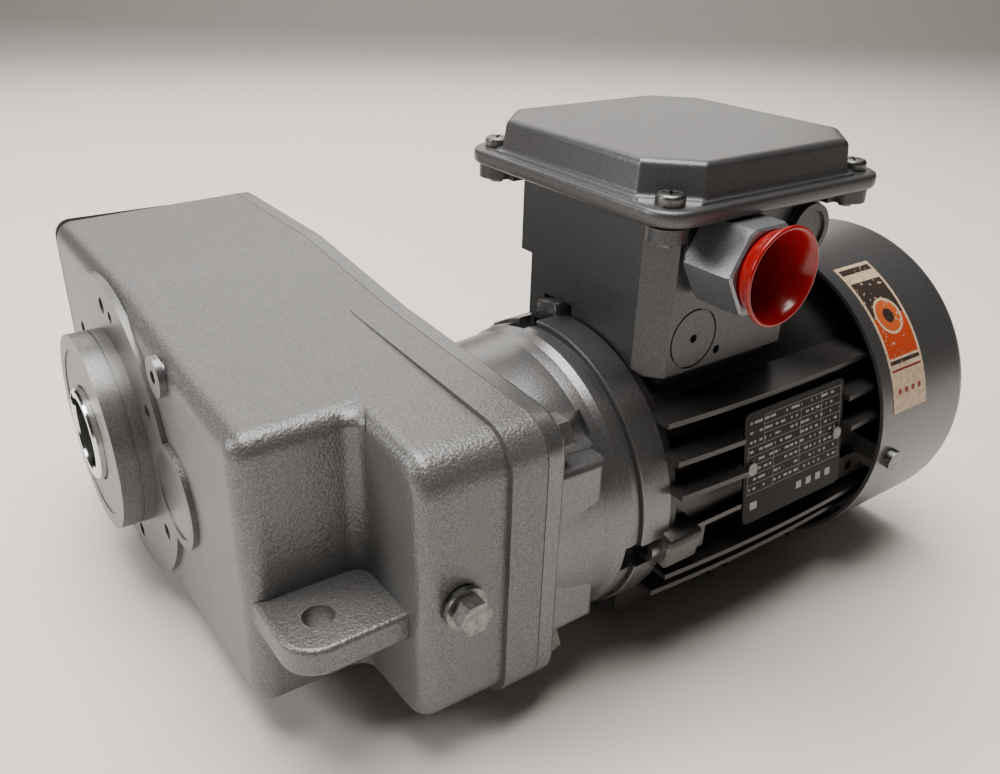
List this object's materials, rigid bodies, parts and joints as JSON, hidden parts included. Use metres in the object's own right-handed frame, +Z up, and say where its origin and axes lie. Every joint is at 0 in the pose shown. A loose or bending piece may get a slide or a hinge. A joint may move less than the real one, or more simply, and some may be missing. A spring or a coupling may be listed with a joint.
{
  "type": "parallel shaft gear motor",
  "caption": "Parallel shaft gear motor: a flat two-stage gear case with a hollow output shaft, driven by a fan-cooled finned motor with a terminal box on top.",
  "frame": {"origin": "on the output bore's axis, in the plane of the machined output pad", "axes": "+X along the shafts towards the motor's fan, +Y from the motor shaft towards the output shaft, +Z up towards the terminal box's lid"},
  "size_m": [0.3403, 0.2901, 0.2041],
  "materials": {
    "black_plastic": "moulded plastic",
    "box_silver": "silver powder coat",
    "brass": "brass",
    "bright_steel": "turned steel",
    "cast_silver": "silver hammered paint over casting",
    "copper": "varnished copper wire",
    "core_steel": "stacked electrical steel",
    "cover_silver": "smooth silver paint over sheet steel",
    "dark_rubber": "oil resistant rubber",
    "frame_dark": "dark grey paint over die casting",
    "gasket_grey": "compressed fibre gasket",
    "plate_black": "black anodised plate",
    "red_plastic": "moulded red plastic",
    "zinc_steel": "zinc plated steel"
  },
  "bodies": {
    "housing": {"gear_case": "cast_silver", "case_gasket": "gasket_grey", "gear_cover": "cast_silver", "cover_bolts": "zinc_steel", "closing_cap": "cast_silver", "side_plug": "zinc_steel", "side_plug_washer": "zinc_steel", "front_plug": "zinc_steel", "output_bearing_outer_rings": "bright_steel", "output_bearing_balls": "bright_steel", "intermediate_bearing_outer_rings": "bright_steel", "intermediate_bearing_balls": "bright_steel", "motor_bearing_outer_rings": "bright_steel", "motor_bearing_balls": "bright_steel", "output_seal_front": "dark_rubber", "output_seal_rear": "dark_rubber", "motor_seal": "dark_rubber", "stator_frame": "frame_dark", "stator_core": "core_steel", "windings": "copper", "motor_screws": "zinc_steel", "terminal_box_base": "box_silver", "box_gasket": "gasket_grey", "box_screws": "zinc_steel", "lid_gasket": "gasket_grey", "terminal_box_lid": "box_silver", "lid_screws": "zinc_steel", "terminal_board": "black_plastic", "terminal_studs": "brass", "terminal_links": "brass", "cable_adaptor": "bright_steel", "adaptor_seal": "dark_rubber", "transit_plug": "red_plastic", "blank_plug": "box_silver", "rear_end_shield": "frame_dark", "shield_screws": "zinc_steel", "wave_spring": "bright_steel", "fan_cover": "cover_silver", "fan_cover_screws": "zinc_steel", "nameplate": "plate_black", "nameplate_rivets": "zinc_steel"},
    "output": {"hollow_shaft": "bright_steel", "output_gear": "bright_steel", "output_gear_key": "bright_steel", "output_distance_ring": "bright_steel", "output_spacer_sleeve": "bright_steel", "output_bearing_inner_rings": "bright_steel"},
    "intermediate": {"pinion_shaft": "bright_steel", "intermediate_gear": "bright_steel", "intermediate_key": "bright_steel", "intermediate_bearing_inner_rings": "bright_steel"},
    "rotor": {"motor_shaft": "bright_steel", "input_pinion": "bright_steel", "rotor_core": "core_steel", "fan": "black_plastic", "fan_clip": "bright_steel", "motor_bearing_inner_rings": "bright_steel"}
  },
  "joints": [
    {"name": "output_spin", "type": "hinge", "parent": "housing", "child": "output", "pos_m": [0, 0, 0], "axis": [1, 0, 0], "continuous": true},
    {"name": "intermediate_spin", "type": "hinge", "parent": "housing", "child": "intermediate", "pos_m": [0, -0.066, 0], "axis": [1, 0, 0], "continuous": true},
    {"name": "motor_spin", "type": "hinge", "parent": "housing", "child": "rotor", "pos_m": [0, -0.123, 0], "axis": [1, 0, 0], "continuous": true}
  ],
  "couplings": [
    {"joint": "intermediate_spin", "follows": "output_spin", "ratio": -4.0769},
    {"joint": "motor_spin", "follows": "output_spin", "ratio": 10.007}
  ]
}
